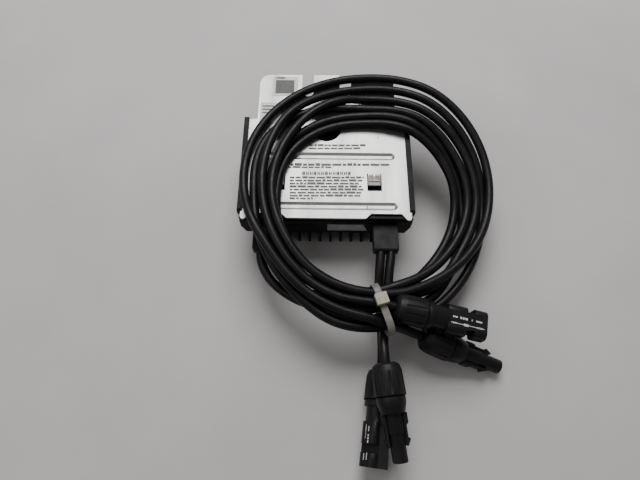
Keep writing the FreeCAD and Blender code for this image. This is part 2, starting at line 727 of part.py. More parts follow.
def makeBoardParts():
    # The capacitors lie in the middle of the strip between the core and the board's back edge.
    core_back = board_middle + cell["core_depth"] / 2
    film_front = (core_back + board_back - cell["film_depth"]) / 2
    film_side = cell["film_place"] - board_half
    films = [(film_side + cell["film_pitch"] * number, film_front, board_top, cell["film_width"],
              cell["film_depth"], cell["film_height"]) for number in range(3)]
    cans = []
    for number in range(2):
        can = doc.addObject("Part::Cylinder", f"can_{number}")
        bind(can, Radius=cell["can_diameter"] / 2, Height=cell["can_length"])
        can.Placement = Placement(Vector(), Rotation(Vector(1, 0, 0), -90))
        place(can, board_half - cell["can_place"] - cell["can_pitch"] * number, film_front,
              board_top + cell["can_diameter"] / 2)
        cans.append(can)
    size = cell["transistor_size"]
    pitch = cell["transistor_pitch"]
    transistors = [(pitch * (number - 1.5) - size / 2, board_front + cell["transistor_front"],
                    board_top, size, size, cell["transistor_height"]) for number in range(4)]
    chip = cell["chip_size"]
    return [
        boxNode("input_capacitors", films),
        gathered("output_capacitors", cans),
        boxNode("power_transistors", transistors),
        boxNode("bypass_diode", [(board_half - cell["diode_place"], board_middle - size / 2,
                                  board_top, size, size, cell["transistor_height"])]),
        boxNode("control_chip", [(cell["chip_place"] - board_half, board_middle - chip / 2,
                                  board_top, chip, chip, cell["chip_height"])]),
    ]


def makeWiring():
    # Each gland's two wires run to their terminals on the board.
    size = cell["terminal_size"]
    terminals = []
    wires = []
    inner_face = cavity_front + cell["lid_seat_width"] + cell["gland_flange"] + cell["gland_play"]
    for side in (-1, 1):
        for half in (-1, 1):
            x = cell["gland_offset"] * side + cell["cable_pitch"] * half / 2
            terminal_front = board_front + cell["boss_inset"] * 2
            terminals.append((x - size / 2, terminal_front, board_top, size, size,
                              gland_axis - board_top + cell["conductor_diameter"]))
            wire = doc.addObject("Part::Cylinder", f"wire_{len(wires)}")
            bind(wire, Radius=cell["conductor_diameter"] / 2, Height=terminal_front - inner_face)
            wire.Placement = Placement(Vector(), Rotation(Vector(1, 0, 0), -90))
            place(wire, x, inner_face, gland_axis)
            wires.append(wire)
    return [boxNode("wire_terminals", terminals), gathered("wire_tails", wires)]


# Connectors lie along their own +X, from the rear of the cap nut to the tip
def makeCapNut(label):
    body = newBody(label)
    radius = cell["nut_diameter"] / 2
    rear = cell["nut_rear_diameter"] / 2
    bore = cell["cable_diameter"] / 2 + cell["connector_play"]
    inside = radius - cell["nut_wall"]
    step = cell["seal_start"] - cell["connector_play"]
    length = cell["nut_length"]
    turned(body, "nut", "XY_Plane", "X_Axis", [
        (0, bore), (0, rear), (cell["nut_round"] * 0.3, rear + (radius - rear) * 0.6),
        (cell["nut_round"], radius - 0.4), (length, radius), (length, inside),
        (step, inside), (step, bore)])
    groove = newSketch(body, "groove_outline", "XZ_Plane", 0)
    half = cell["groove_width"] / 2
    addBox(groove, cell["nut_round"], length - 1.5, radius - cell["groove_depth"], radius + 1)
    cut = pocket(body, groove, cell["groove_width"], "groove")
    cut.SideType = "Symmetric"
    doc.recompute()
    grooves = body.newObject("PartDesign::PolarPattern", "grooves")
    grooves.Originals = [cut]
    grooves.Axis = (originPlane(body, "X_Axis"), [""])
    grooves.Angle = 360
    bind(grooves, Occurrences=cell["groove_count"])
    body.Tip = grooves
    return body


def threadedRear(gap):
    # Outline points of the part of a connector body that sits inside the cap nut.
    inside = cell["nut_diameter"] / 2 - cell["nut_wall"] - cell["connector_play"]
    start = cell["seal_start"] + cell["seal_length"] + gap
    end = cell["nut_length"] + cell["connector_play"]
    return start, end, inside


def makeTubeBody(label):
    body = newBody(label)
    start, end, inside = threadedRear(cell["connector_play"])
    bore = cell["tube_bore"] / 2
    collar = cell["collar_diameter"] / 2
    taper = cell["taper_diameter"] / 2
    base = cell["latch_base_diameter"] / 2
    tube = cell["tube_diameter"] / 2
    turned(body, "shell", "XY_Plane", "X_Axis", [
        (start, bore), (start, inside), (end, inside), (end, collar),
        (end + cell["collar_length"], collar), (cell["taper_end"], taper),
        (cell["taper_end"], base), (cell["latch_base_end"], base),
        (cell["latch_base_end"], tube), (cell["tube_type_length"] - 0.6, tube),
        (cell["tube_type_length"], tube - 0.6), (cell["tube_type_length"], bore)])
    outer = cell["latch_offset"]
    thick = cell["latch_thickness"]
    hook = cell["latch_hook"]
    wing = cell["latch_wing"]
    wide = cell["latch_wing_length"]
    root = cell["taper_end"]
    tip = cell["latch_end"]
    for side, name in ((1, "upper_latch"), (-1, "lower_latch")):
        outline = newSketch(body, f"{name}_outline", "XY_Plane", -cell["latch_width"] / 2)
        corners = [(root, outer - thick), (root, outer + wing), (root + wide, outer + wing),
                   (root + wide + wing, outer), (tip - 5, outer), (tip - 4, outer + hook),
                   (tip, outer - thick * 0.4), (tip, outer - thick)]
        addPolygon(outline, [(x, y * side) for x, y in corners])
        pad(body, outline, cell["latch_width"], name)
    return body


def makeSleeveBody(label):
    body = newBody(label)
    start, end, inside = threadedRear(cell["connector_play"])
    pin_room = cell["pin_diameter"] / 2 + cell["connector_play"]
    collar = cell["collar_diameter"] / 2
    neck = cell["neck_diameter"] / 2
    sleeve = cell["sleeve_start"]
    length = cell["sleeve_type_length"]
    turned(body, "shell", "XY_Plane", "X_Axis", [
        (start, pin_room), (start, inside), (end, inside), (end, collar),
        (end + cell["collar_length"], collar), (end + cell["collar_length"], neck),
        (sleeve + 1, neck), (sleeve + 1, pin_room)])
    section = newSketch(body, "sleeve_outline", "YZ_Plane", sleeve)
    half_width = cell["sleeve_width"] / 2
    half_height = cell["sleeve_height"] / 2
    addBox(section, -half_width, half_width, -half_height, half_height)
    block = pad(body, section, length - sleeve, "sleeve")

    def longEdge(middle, along):
        return (abs(along.x) > 0.9 and abs(abs(middle.y) - half_width.number) < 0.01
                and abs(abs(middle.z) - half_height.number) < 0.01)

    roundEdges(body, block, cell["sleeve_round"], longEdge, "sleeve_edges")
    for side, name in ((1, "upper_window"), (-1, "lower_window")):
        outline = newSketch(body, f"{name}_outline", "XY_Plane", -half_height)
        x1 = cell["window_start"]
        x2 = x1 + cell["window_span"]
        y1 = (half_width - cell["window_cut"]) * side
        y2 = (half_width + 1) * side
        addPolygon(outline, [(x1, y1), (x2, y1), (x2, y2), (x1, y2)])
        pocket(body, outline, cell["sleeve_height"], name, reverse=True)
    mouth = newSketch(body, "mouth_outline", "YZ_Plane", length)
    addRing(mouth, 0, 0, cell["sleeve_bore"])
    pocket(body, mouth, cell["sleeve_bore_depth"], "mouth")
    through = newSketch(body, "through_outline", "YZ_Plane", length)
    addRing(through, 0, 0, pin_room * 2)
    pocket(body, through, length - start, "through")
    return body


def makeSeal(label):
    body = newBody(label)
    outer = cell["nut_diameter"] / 2 - cell["nut_wall"] - cell["connector_play"]
    inner = cell["pin_diameter"] / 2 + cell["connector_play"]
    start = cell["seal_start"]
    end = start + cell["seal_length"]
    turned(body, "seal", "XY_Plane", "X_Axis", [
        (start, inner), (start, outer), (end, outer), (end, inner)])
    return body


def makeContact(label, tip, socket):
    # A crimped contact: a pin, or a socket with its bore at the tip.
    body = newBody(label)
    radius = cell["pin_diameter"] / 2
    start = cell["seal_start"]
    corners = [(start, 0), (start, radius), (tip - 0.5, radius), (tip, radius - 0.5), (tip, 0)]
    if socket:
        bore = radius * 0.55
        corners = [(start, 0), (start, radius), (tip, radius), (tip, bore), (tip - 12, bore),
                   (tip - 12, 0)]
    turned(body, "contact", "XY_Plane", "X_Axis", corners)
    return body


def axisPlacement(rear, tip, roll):
    # Turns a connector's +X from its rear point to its tip, rolled about that axis.
    along = (tip - rear).normalize()
    across = Vector(0, 0, 1).cross(along).normalize()
    up = along.cross(across)
    turn = Rotation(Matrix(
        along.x, across.x, up.x, 0, along.y, across.y, up.y, 0, along.z, across.z, up.z, 0,
        0, 0, 0, 1))
    return Placement(rear, turn * Rotation(Vector(1, 0, 0), roll))


# Where each connector lies: rear of its cap nut, a point its tip aims at, roll in degrees
connectors = {
    "upper_output": ("sleeve", Vector(46.2, -120.0, 40.0), Vector(108.7, -131.3, 30.2), 0),
    "lower_output": ("tube", Vector(67.0, -135.0, 21.0), Vector(122.6, -152.6, 5.3), 0),
    "left_input": ("sleeve", Vector(39.4, -156.3, 10.4), Vector(31.8, -217.9, 10.2), -52),
    "right_input": ("tube", Vector(39.3, -155.5, 32.8), Vector(47.0, -214.6, 26.3), 0),
}


def makeConnectors():
    nodes = []
    for name, (kind, rear, tip, roll) in connectors.items():
        where = axisPlacement(rear, tip, roll)
        if kind == "sleeve":
            shell = makeSleeveBody(f"{name}_connector_body")
            contact = makeContact(f"{name}_contact", cell["sleeve_type_length"] - 6, False)
        else:
            shell = makeTubeBody(f"{name}_connector_body")
            contact = makeContact(f"{name}_contact", cell["tube_type_length"] - 2, True)
        pieces = [shell, makeCapNut(f"{name}_cap_nut"), makeSeal(f"{name}_seal"), contact]
        for piece in pieces:
            piece.Placement = where
        nodes += pieces
    return nodes


def tieFrame():
    # The tie stands across the bundle of turns where the cables come together.
    middle = Vector(38.2, -121.1, 37.4)
    across = Vector(0.307, -0.952, 0).normalize()
    return middle, across


def makeTie():
    body = newBody("cable_tie")
    width = cell["tie_inner_width"]
    height = cell["tie_inner_height"]
    thick = cell["tie_thickness"]
    half = cell["tie_width"] / 2
    band = newSketch(body, "band_outline", "XZ_Plane", -half)
    addPill(band, -width / 2 - thick, width / 2 + thick, 0, height + thick * 2)
    addPill(band, -width / 2, width / 2, 0, height)
    pad(body, band, cell["tie_width"], "band")
    head = newSketch(body, "head_outline", "XY_Plane", height / 2 + thick / 2)
    x1 = -cell["tie_head_length"] / 2 - cell["tie_head_place"]
    addBox(head, x1, x1 + cell["tie_head_length"], -cell["tie_head_width"] / 2,
           cell["tie_head_width"] / 2)
    pad(body, head, cell["tie_head_height"], "head")
    middle, across = tieFrame()
    along = Vector(0, 0, 1).cross(across)
    turn = Rotation(Matrix(
        across.x, along.x, 0, 0, across.y, along.y, 0, 0, across.z, along.z, 1, 0, 0, 0, 0, 1))
    body.Placement = Placement(middle, turn)
    return body


# The routes of the cables where they are not wound, as points (mm). A route that leaves a
# gland starts at the gland's cable end, and one that ends at a connector goes on to its seal.
gland_left = -cell["gland_offset"].number
gland_right = cell["gland_offset"].number
half_pitch = cell["cable_pitch"].number / 2
exit_y = gland_front.number
exit_z = gland_axis.number
routes = {
    "input_cable_left": [
        (gland_right - half_pitch, exit_y, exit_z), (39.8, -88.0, 28.1), (39.6, -101.0, 24.2),
        (39.8, -116.0, 18.2), (40.3, -131.0, 13.0)],
    "input_cable_right": [
        (gland_right + half_pitch, exit_y, exit_z), (47.2, -88.0, 28.3), (46.4, -102.2, 26.4),
        (43.5, -117.2, 24.9), (40.3, -133.0, 24.6)],
    "output_cable_outer_start": [
        (gland_left - half_pitch, exit_y, exit_z), (-46.6, -82.6, 28.8), (-43.6, -90.5, 28.3),
        (-37.8, -98.6, 28.1), (-29.4, -105.9, 28.7), (-18.4, -111.8, 31.4), (-5.3, -116.4, 35.4)],
    "output_cable_inner_start": [
        (gland_left + half_pitch, exit_y, exit_z), (-39.2, -82.6, 28.8), (-36.2, -89.0, 28.1),
        (-30.2, -95.8, 27.8), (-21.8, -101.4, 28.6), (-11.3, -106.0, 31.6), (1.0, -109.4, 35.6)],
    "output_cable_upper_end": [],
    "output_cable_lower_end": [(34.5, -131.8, 35.9), (46.7, -131.4, 33.6)],
}
route_ends = {
    "input_cable_left": "left_input",
    "input_cable_right": "right_input",
    "output_cable_upper_end": "upper_output",
    "output_cable_lower_end": "lower_output",
}
lead = 9.0


def axisPoint(name, distance):
    # A point on a connector's axis, at a distance from the rear of its cap nut.
    rear, tip = connectors[name][1:3]
    return rear + (tip - rear).normalize() * distance


def wholeRoute(label):
    # The route's points, run into the gland a little and on to the connector's seal.
    points = [Vector(*point) for point in routes[label]]
    if points and abs(points[0].y - exit_y) < 0.01:
        points[0] = points[0] - (points[1] - points[0]).normalize() * 2
    if label in route_ends:
        name = route_ends[label]
        points += [axisPoint(name, -lead), axisPoint(name, cell["seal_start"].number)]
    return points


def cablePath(points):
    # Straight runs joined by tangent arcs, each as large as its two runs allow.
    edges = []
    radii = []
    reached = points[0]
    for before, corner, after in zip(points, points[1:], points[2:]):
        inward = (corner - before).normalize()
        outward = (after - corner).normalize()
        turn = inward.getAngle(outward)
        run = min((corner - before).Length, (after - corner).Length)
        radius = 0.45 * run / math.tan(turn / 2)
        radii.append(radius)
        start = corner - inward * (0.45 * run)
        end = corner + outward * (0.45 * run)
        toward = (outward - inward).normalize()
        middle = corner + toward * (radius / math.cos(turn / 2) - radius)
        edges.append(Part.LineSegment(reached, start).toShape())
        edges.append(Part.Arc(start, middle, end).toShape())
        reached = end
    edges.append(Part.LineSegment(reached, points[-1]).toShape())
    return Part.Wire(edges), radii


def makeTube(label, cutters):
    points = wholeRoute(label)
    path, radii = cablePath(points)
    radius = cell["cable_diameter"].number / 2
    along = (points[1] - points[0]).normalize()
    section = Part.Wire(Part.Circle(points[0], along, radius).toShape())
    tube = path.makePipeShell([section], True, False)
    expected = math.pi * radius ** 2 * path.Length
    if abs(tube.Volume - expected) > 0.01 * expected:
        raise RuntimeError(f"{label}: the tube's volume is not its section times its length")
    listed = ", ".join(f"{value:.1f}" for value in radii)
    print(f"{label}: length {path.Length:.1f} mm, bend radii {listed} mm")
    for cutter in cutters:
        tube = tube.cut(cutter)
    return newFeature(label, tube)


def newFeature(label, shape):
    feature = doc.addObject("Part::Feature", label)
    solids = shape.Solids
    feature.Shape = max(solids, key=lambda solid: solid.Volume)
    feature.Label = label
    return feature


# The coil of the two output cables: middle of the coil and, by angle, the inner and outer
# radius, the height of the middle of the bundle and half its height
coil_middle = Vector(31.0, -37.0, 0)
coil_stations = [
    (0, 62.5, 95.0, 28.0, 6.3),
    (30, 63.0, 106.0, 36.5, 5.6),
    (60, 60.4, 111.5, 47.4, 4.0),
    (90, 58.5, 110.0, 45.8, 3.9),
    (120, 61.5, 108.5, 45.9, 3.9),
    (150, 64.5, 102.5, 47.4, 4.4),
    (180, 65.0, 92.2, 49.8, 6.4),
    (210, 65.5, 86.5, 46.6, 6.5),
    (240, 67.5, 93.0, 39.6, 6.4),
    (262, 68.4, 97.0, 37.6, 6.2),
    (271, 68.9, 98.8, 37.4, 6.1),
    (279.5, 67.6, 98.5, 37.4, 6.1),
    (285, 61.0, 76.0, 33.8, 8.4),
    (292, 59.5, 74.0, 31.6, 8.6),
    (305, 59.0, 86.5, 28.6, 6.3),
    (330, 58.0, 88.5, 26.0, 6.3),
]
coil_slope = 0.7


def coilSection(angle, inner, outer, height, half):
    slope = coil_slope * half
    outline = [
        (inner + slope, height - half), (outer - slope, height - half),
        (outer, height - half + slope), (outer, height + half - slope),
        (outer - slope, height + half), (inner + slope, height + half),
        (inner, height + half - slope), (inner, height - half + slope)]
    turn = math.radians(angle)
    return [coil_middle + Vector(radius * math.cos(turn), radius * math.sin(turn), z)
            for radius, z in outline]


def between(values, share):
    # Smooth curve through four values, at a share of the way between the middle two, kept
    # from running past either of those.
    a, b, c, d = values
    value = 0.5 * (2 * b + (c - a) * share + (2 * a - 5 * b + 4 * c - d) * share ** 2
                   + (3 * b - a - 3 * c + d) * share ** 3)
    return min(max(value, min(b, c)), max(b, c))


def nutRoom(name, play):
    # The room that a connector's cap nut and body take in the coil, with some play.
    rear, tip = connectors[name][1:3]
    along = (tip - rear).normalize()
    radius = cell["nut_diameter"].number / 2 + play
    slope = cell["nut_round"].number + 1.5
    rear_radius = cell["nut_rear_diameter"].number / 2 + play + 1
    room = Part.makeCone(rear_radius, radius, slope, rear - along * 1.5, along)
    return room.fuse(Part.makeCylinder(radius, 40, axisPoint(name, slope - 1.5), along))


def makeCoil(cutters):
    sections = []
    count = len(coil_stations)
    for number in range(count):
        near = [coil_stations[(number + step) % count] for step in (-1, 0, 1, 2)]
        angles = [near[0][0], near[1][0], near[2][0], near[3][0]]
        span = (angles[2] - angles[1]) % 360
        for share in (0.0, 0.5):
            shape = [between([station[column] for station in near], share)
                     for column in range(1, 5)]
            sections.append(coilSection(angles[1] + span * share, *shape))
    faces = []
    for ring, following in zip(sections, sections[1:] + sections[:1]):
        for a, b, c, d in zip(ring, ring[1:] + ring[:1], following[1:] + following[:1], following):
            faces.append(Part.Face(Part.makePolygon([a, b, c, a])))
            faces.append(Part.Face(Part.makePolygon([a, c, d, a])))
    shell = Part.Shell(faces)
    coil = Part.Solid(shell)
    if coil.Volume < 0:
        coil.reverse()
    for cutter in cutters:
        coil = coil.cut(cutter)
    return newFeature("output_cable_coil", coil)


def exportNode(feature):
    state = [str(word) for word in feature.State]
    if "Invalid" in state or "Error" in state:
        raise RuntimeError(f"{feature.Label} failed: {state}")
    shape = feature.Shape
    if shape.isNull() or not shape.isValid() or not shape.Solids:
        raise RuntimeError(f"{feature.Label} has no valid shape")
    shape.exportStep(os.path.join("parts", f"{feature.Label}.step"))
    print(f"{feature.Label}: {len(shape.Solids)} solid(s), {shape.Volume:.0f} mm3")


nodes = [makeHousing(), makeLid(), makeGasket(), makeBracket()]
nodes += [makeGland("output_cable_gland", -1), makeGland("input_cable_gland", 1)]
nodes += [makeBoard(), makeScrews(), makePad()]
nodes += makeInductor()
nodes += makeBoardParts()
nodes += makeWiring()
nodes += makeConnectors()
nodes.append(makeTie())
doc.recompute()

coil = makeCoil([nutRoom("upper_output", 0.5)])
nodes.append(coil)
glands = [node.Shape for node in nodes if node.Label.endswith("cable_gland")]
for label in routes:
    nodes.append(makeTube(label, glands + [coil.Shape]))
doc.recompute()

for thing in doc.Objects:
    if "Invalid" in thing.State or "Error" in thing.State:
        raise RuntimeError(f"{thing.Label} failed: {thing.State}")
for node in nodes:
    exportNode(node)
print(f"{len(nodes)} nodes")
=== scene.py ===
import math
import random
import bpy
import bmesh
from mathutils import Matrix, Vector


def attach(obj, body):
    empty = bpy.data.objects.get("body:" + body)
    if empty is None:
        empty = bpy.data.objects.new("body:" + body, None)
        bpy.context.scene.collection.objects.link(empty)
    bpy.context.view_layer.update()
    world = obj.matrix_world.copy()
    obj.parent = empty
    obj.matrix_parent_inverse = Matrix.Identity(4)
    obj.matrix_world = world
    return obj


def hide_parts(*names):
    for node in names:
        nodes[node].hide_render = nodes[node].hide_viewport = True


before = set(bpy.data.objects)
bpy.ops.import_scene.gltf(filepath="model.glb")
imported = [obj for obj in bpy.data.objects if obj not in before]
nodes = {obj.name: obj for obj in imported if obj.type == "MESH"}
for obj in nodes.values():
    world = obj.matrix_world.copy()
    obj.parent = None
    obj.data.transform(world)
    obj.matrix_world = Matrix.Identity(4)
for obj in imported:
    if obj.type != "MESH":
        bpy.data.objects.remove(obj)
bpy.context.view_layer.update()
mm = 0.001
print("frame loaded")

# camera, as the photograph was taken
photoCamera = {"place": (-4.0, -216.2, 362.0), "below": 65.85, "turn": 0.04, "roll": 0.61,
               "lens": 28.125, "sensor": 36.0, "nearest": 0.01, "farthest": 20}


def addCamera(sizes):
    data = bpy.data.cameras.new("photoCamera")
    data.lens = sizes["lens"]
    data.sensor_width = sizes["sensor"]
    data.clip_start = sizes["nearest"]
    data.clip_end = sizes["farthest"]
    camera = bpy.data.objects.new("photoCamera", data)
    bpy.context.scene.collection.objects.link(camera)
    aim = Matrix.Rotation(math.radians(sizes["turn"]), 4, "Z")
    aim = aim @ Matrix.Rotation(math.radians(90 - sizes["below"]), 4, "X")
    aim = aim @ Matrix.Rotation(math.radians(sizes["roll"]), 4, "Z")
    camera.matrix_world = Matrix.Translation(Vector(sizes["place"]) * mm) @ aim
    bpy.context.scene.camera = camera


addCamera(photoCamera)


# finishes: each is a small node tree on Object coordinates
def addNode(tree, kind, **values):
    node = tree.nodes.new(kind)
    for name, value in values.items():
        if name in node.inputs:
            node.inputs[name].default_value = value
        else:
            setattr(node, name, value)
    return node


def noiseOf(tree, place, scale, detail=3.0, rough=0.55):
    node = addNode(tree, "ShaderNodeTexNoise", Scale=scale, Detail=detail, Roughness=rough)
    tree.links.new(place, node.inputs["Vector"])
    return node.outputs["Fac"]


def rampOf(tree, value, stops):
    ramp = tree.nodes.new("ShaderNodeValToRGB")
    while len(ramp.color_ramp.elements) < len(stops):
        ramp.color_ramp.elements.new(0.5)
    for element, (position, colour) in zip(ramp.color_ramp.elements, stops):
        element.position = position
        element.color = (*colour, 1)
    tree.links.new(value, ramp.inputs["Fac"])
    return ramp.outputs["Color"]


# where the noise turns from dark to light and from smooth to rough, and how fine the latter is
noiseSizes = {"colour": (0.32, 0.7), "rough": (0.3, 0.7), "roughScale": 2.3, "leastRough": 0.05}


def newFinish(name, dark, light, rough, metal=0.0, patch=60.0, grain=900.0, grainDepth=0.05,
              wear=0.08, stretch=(1, 1, 1), coat=0.0, specular=0.32, grainHeight=0.0002):
    material = bpy.data.materials.new(name)
    material.use_nodes = True
    tree = material.node_tree
    shader = tree.nodes["Principled BSDF"]
    shader.inputs["Metallic"].default_value = metal
    shader.inputs["Coat Weight"].default_value = coat
    shader.inputs["Specular IOR Level"].default_value = specular
    place = addNode(tree, "ShaderNodeTexCoord").outputs["Object"]
    mapping = addNode(tree, "ShaderNodeMapping", Scale=stretch)
    tree.links.new(place, mapping.inputs["Vector"])
    place = mapping.outputs["Vector"]
    shades = list(zip(noiseSizes["colour"], (dark, light)))
    colour = rampOf(tree, noiseOf(tree, place, patch, 5.0, 0.6), shades)
    tree.links.new(colour, shader.inputs["Base Color"])
    spread = addNode(tree, "ShaderNodeMapRange")
    spread.inputs["From Min"].default_value = noiseSizes["rough"][0]
    spread.inputs["From Max"].default_value = noiseSizes["rough"][1]
    spread.inputs["To Min"].default_value = max(rough - wear, noiseSizes["leastRough"])
    spread.inputs["To Max"].default_value = min(rough + wear, 1.0)
    patches = noiseOf(tree, place, patch * noiseSizes["roughScale"], 4.0)
    tree.links.new(patches, spread.inputs["Value"])
    tree.links.new(spread.outputs["Result"], shader.inputs["Roughness"])
    bump = addNode(tree, "ShaderNodeBump", Strength=grainDepth, Distance=grainHeight)
    tree.links.new(noiseOf(tree, place, grain, 2.0), bump.inputs["Height"])
    tree.links.new(bump.outputs["Normal"], shader.inputs["Normal"])
    return material


def dressNode(name, finish):
    for slot in nodes[name].material_slots:
        slot.material = finish


finishes = {
    "housing": newFinish("blackHousingPaint", (0.003, 0.003, 0.0034), (0.007, 0.007, 0.008), 0.52,
                         grain=1400, grainDepth=0.35, specular=0.12),
    "lid": newFinish("blackLid", (0.002, 0.002, 0.002), (0.004, 0.004, 0.004), 0.7, grain=1100,
                     specular=0.15),
    "gasket": newFinish("gasketRubber", (0.012, 0.012, 0.012), (0.02, 0.02, 0.02), 0.8),
    "bracket": newFinish("brightSteel", (0.26, 0.26, 0.256), (0.36, 0.36, 0.352), 0.36, metal=0.7,
                         patch=22, grain=700, grainDepth=0.06, wear=0.1, stretch=(1, 0.25, 1),
                         specular=0.5),
    "gland": newFinish("glandRubber", (0.007, 0.007, 0.008), (0.013, 0.013, 0.014), 0.6,
                       grain=1600, grainDepth=0.3, specular=0.2),
    "board": newFinish("boardLaminate", (0.01, 0.06, 0.03), (0.02, 0.11, 0.05), 0.4, coat=0.3),
    "screw": newFinish("screwSteel", (0.5, 0.5, 0.5), (0.65, 0.65, 0.64), 0.35, metal=1.0),
    "pad": newFinish("padSilicone", (0.2, 0.24, 0.3), (0.26, 0.3, 0.36), 0.75),
    "core": newFinish("coreFerrite", (0.03, 0.03, 0.032), (0.06, 0.06, 0.062), 0.7),
    "winding": newFinish("windingCopper", (0.45, 0.16, 0.06), (0.62, 0.26, 0.1), 0.35, metal=1.0,
                         stretch=(1, 1, 9)),
    "film": newFinish("filmBoxBlue", (0.03, 0.08, 0.22), (0.05, 0.12, 0.3), 0.45),
    "can": newFinish("canMetal", (0.6, 0.6, 0.6), (0.75, 0.75, 0.75), 0.3, metal=1.0),
    "chip": newFinish("chipMould", (0.01, 0.01, 0.011), (0.022, 0.022, 0.023), 0.55),
    "terminal": newFinish("tinnedTerminal", (0.55, 0.54, 0.5), (0.7, 0.69, 0.64), 0.35, metal=1.0),
    "insulation": newFinish("wireInsulation", (0.08, 0.01, 0.01), (0.12, 0.02, 0.02), 0.5),
    "connector": newFinish("connectorPlastic", (0.005, 0.005, 0.0055), (0.010, 0.010, 0.011), 0.4,
                           grain=1500, grainDepth=0.25, specular=0.2),
    "nut": newFinish("capNutPlastic", (0.005, 0.005, 0.0055), (0.011, 0.011, 0.012), 0.44,
                     grain=1500, grainDepth=0.3, specular=0.2),
    "seal": newFinish("sealRubber", (0.02, 0.02, 0.02), (0.03, 0.03, 0.03), 0.7),
    "contact": newFinish("contactMetal", (0.6, 0.58, 0.52), (0.75, 0.72, 0.64), 0.25, metal=1.0),
    "jacket": newFinish("cableJacket", (0.004, 0.004, 0.0045), (0.009, 0.009, 0.01), 0.38,
                        patch=90, grain=1300, grainDepth=0.3, wear=0.1, specular=0.16),
    "tie": newFinish("tieNylon", (0.11, 0.106, 0.095), (0.17, 0.163, 0.147), 0.45, patch=150),
    "tieHead": newFinish("tieHeadNylon", (0.30, 0.275, 0.215), (0.40, 0.37, 0.30), 0.45, patch=300),
    "mark": newFinish("lightMark", (0.42, 0.42, 0.41), (0.58, 0.58, 0.57), 0.6, patch=500),
    # painted shade: a near-black ring with almost no sheen stands for the shaded gap between cap
    # nut and connector body
    "gap": newFinish("blackSealRing", (0.001, 0.001, 0.001), (0.003, 0.003, 0.003), 0.8,
                     specular=0.05),
    "ink": newFinish("greyInk", (0.08, 0.08, 0.08), (0.14, 0.14, 0.137), 0.7, patch=700),
    "label": newFinish("whiteLabel", (0.56, 0.56, 0.55), (0.66, 0.66, 0.65), 0.6, patch=120),
    "stain": newFinish("brownStain", (0.16, 0.10, 0.05), (0.34, 0.25, 0.16), 0.65, patch=500),
    "wallLabel": newFinish("greyWallLabel", (0.20, 0.20, 0.198), (0.34, 0.34, 0.335), 0.6,
                           patch=300),
    "ribSteel": newFinish("ribSteel", (0.17, 0.14, 0.12), (0.34, 0.31, 0.28), 0.45, metal=0.5,
                          patch=300),
}

nodeFinish = {
    "heat_sink_housing": "housing", "housing_lid": "lid", "lid_gasket": "gasket",
    "mounting_bracket": "bracket", "output_cable_gland": "gland", "input_cable_gland": "gland",
    "circuit_board": "board", "board_screws": "screw", "thermal_pad": "pad",
    "inductor_core": "core", "inductor_winding": "winding", "input_capacitors": "film",
    "output_capacitors": "can", "power_transistors": "chip", "bypass_diode": "chip",
    "control_chip": "chip", "wire_terminals": "terminal", "wire_tails": "insulation",
    "cable_tie": "tie",
}
leadNames = ("upper_output", "lower_output", "left_input", "right_input")
for lead in leadNames:
    nodeFinish[lead + "_connector_body"] = "connector"
    nodeFinish[lead + "_cap_nut"] = "nut"
    nodeFinish[lead + "_seal"] = "seal"
    nodeFinish[lead + "_contact"] = "contact"
for nodeName, finishName in nodeFinish.items():
    dressNode(nodeName, finishes[finishName])
print("finishes made")


# angles in degrees; faces over flatFace, in square metres, stay flat
softSizes = {"merge": 0.000002, "flat": 0.8, "hard": 34, "smooth": 40, "flatFace": 0.00003}


def sharperThan(edge, degrees):
    return len(edge.link_faces) == 2 and edge.calc_face_angle(0) > math.radians(degrees)


def newObject(name, bm, finish, smooth=0):
    for face in bm.faces:
        face.smooth = smooth > 0 and face.calc_area() < softSizes["flatFace"]
    if smooth:
        for edge in bm.edges:
            edge.smooth = len(edge.link_faces) == 2 and not sharperThan(edge, smooth)
    mesh = bpy.data.meshes.new(name)
    bm.to_mesh(mesh)
    bm.free()
    mesh.materials.append(finish)
    piece = bpy.data.objects.new(name, mesh)
    bpy.context.scene.collection.objects.link(piece)
    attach(piece, "root")
    return piece


# packed rigid pieces whose hard edges are softened: width of the soft edge in millimetres
softEdges = {
    "heat_sink_housing": 0.3, "mounting_bracket": 0.22, "input_cable_gland": 0.7,
    "output_cable_gland": 0.7, "cable_tie": 0.25,
}
for lead in leadNames:
    softEdges[lead + "_connector_body"] = 0.35
    softEdges[lead + "_cap_nut"] = 0.25
soft = {}


def softCopy(nodeName, width):
    bm = bmesh.new()
    bm.from_mesh(nodes[nodeName].data)
    bmesh.ops.remove_doubles(bm, verts=bm.verts, dist=softSizes["merge"])
    bmesh.ops.dissolve_limit(bm, angle_limit=math.radians(softSizes["flat"]), verts=bm.verts,
                             edges=bm.edges)
    edges = [edge for edge in bm.edges if sharperThan(edge, softSizes["hard"])]
    bmesh.ops.bevel(bm, geom=edges, offset=width * mm, offset_type="OFFSET", affect="EDGES",
                    segments=2, profile=0.5, material=-1, clamp_overlap=True)
    words = nodeName.split("_")
    name = "soft" + "".join(word.capitalize() for word in words)
    piece = newObject(name, bm, finishes[nodeFinish[nodeName]],
                      smooth=softSizes["smooth"])
    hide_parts(nodeName)
    soft[nodeName] = piece


for nodeName, width in softEdges.items():
    softCopy(nodeName, width)
print("edges softened")


def addSlab(bm, x1, x2, y1, y2, z1, z2):
    corners = [bm.verts.new(Vector(corner) * mm) for corner in (
        (x1, y1, z1), (x2, y1, z1), (x2, y2, z1), (x1, y2, z1),
        (x1, y1, z2), (x2, y1, z2), (x2, y2, z2), (x1, y2, z2))]
    for order in ((3, 2, 1, 0), (4, 5, 6, 7), (0, 1, 5, 4), (1, 2, 6, 5), (2, 3, 7, 6),
                  (3, 0, 4, 7)):
        bm.faces.new([corners[index] for index in order])


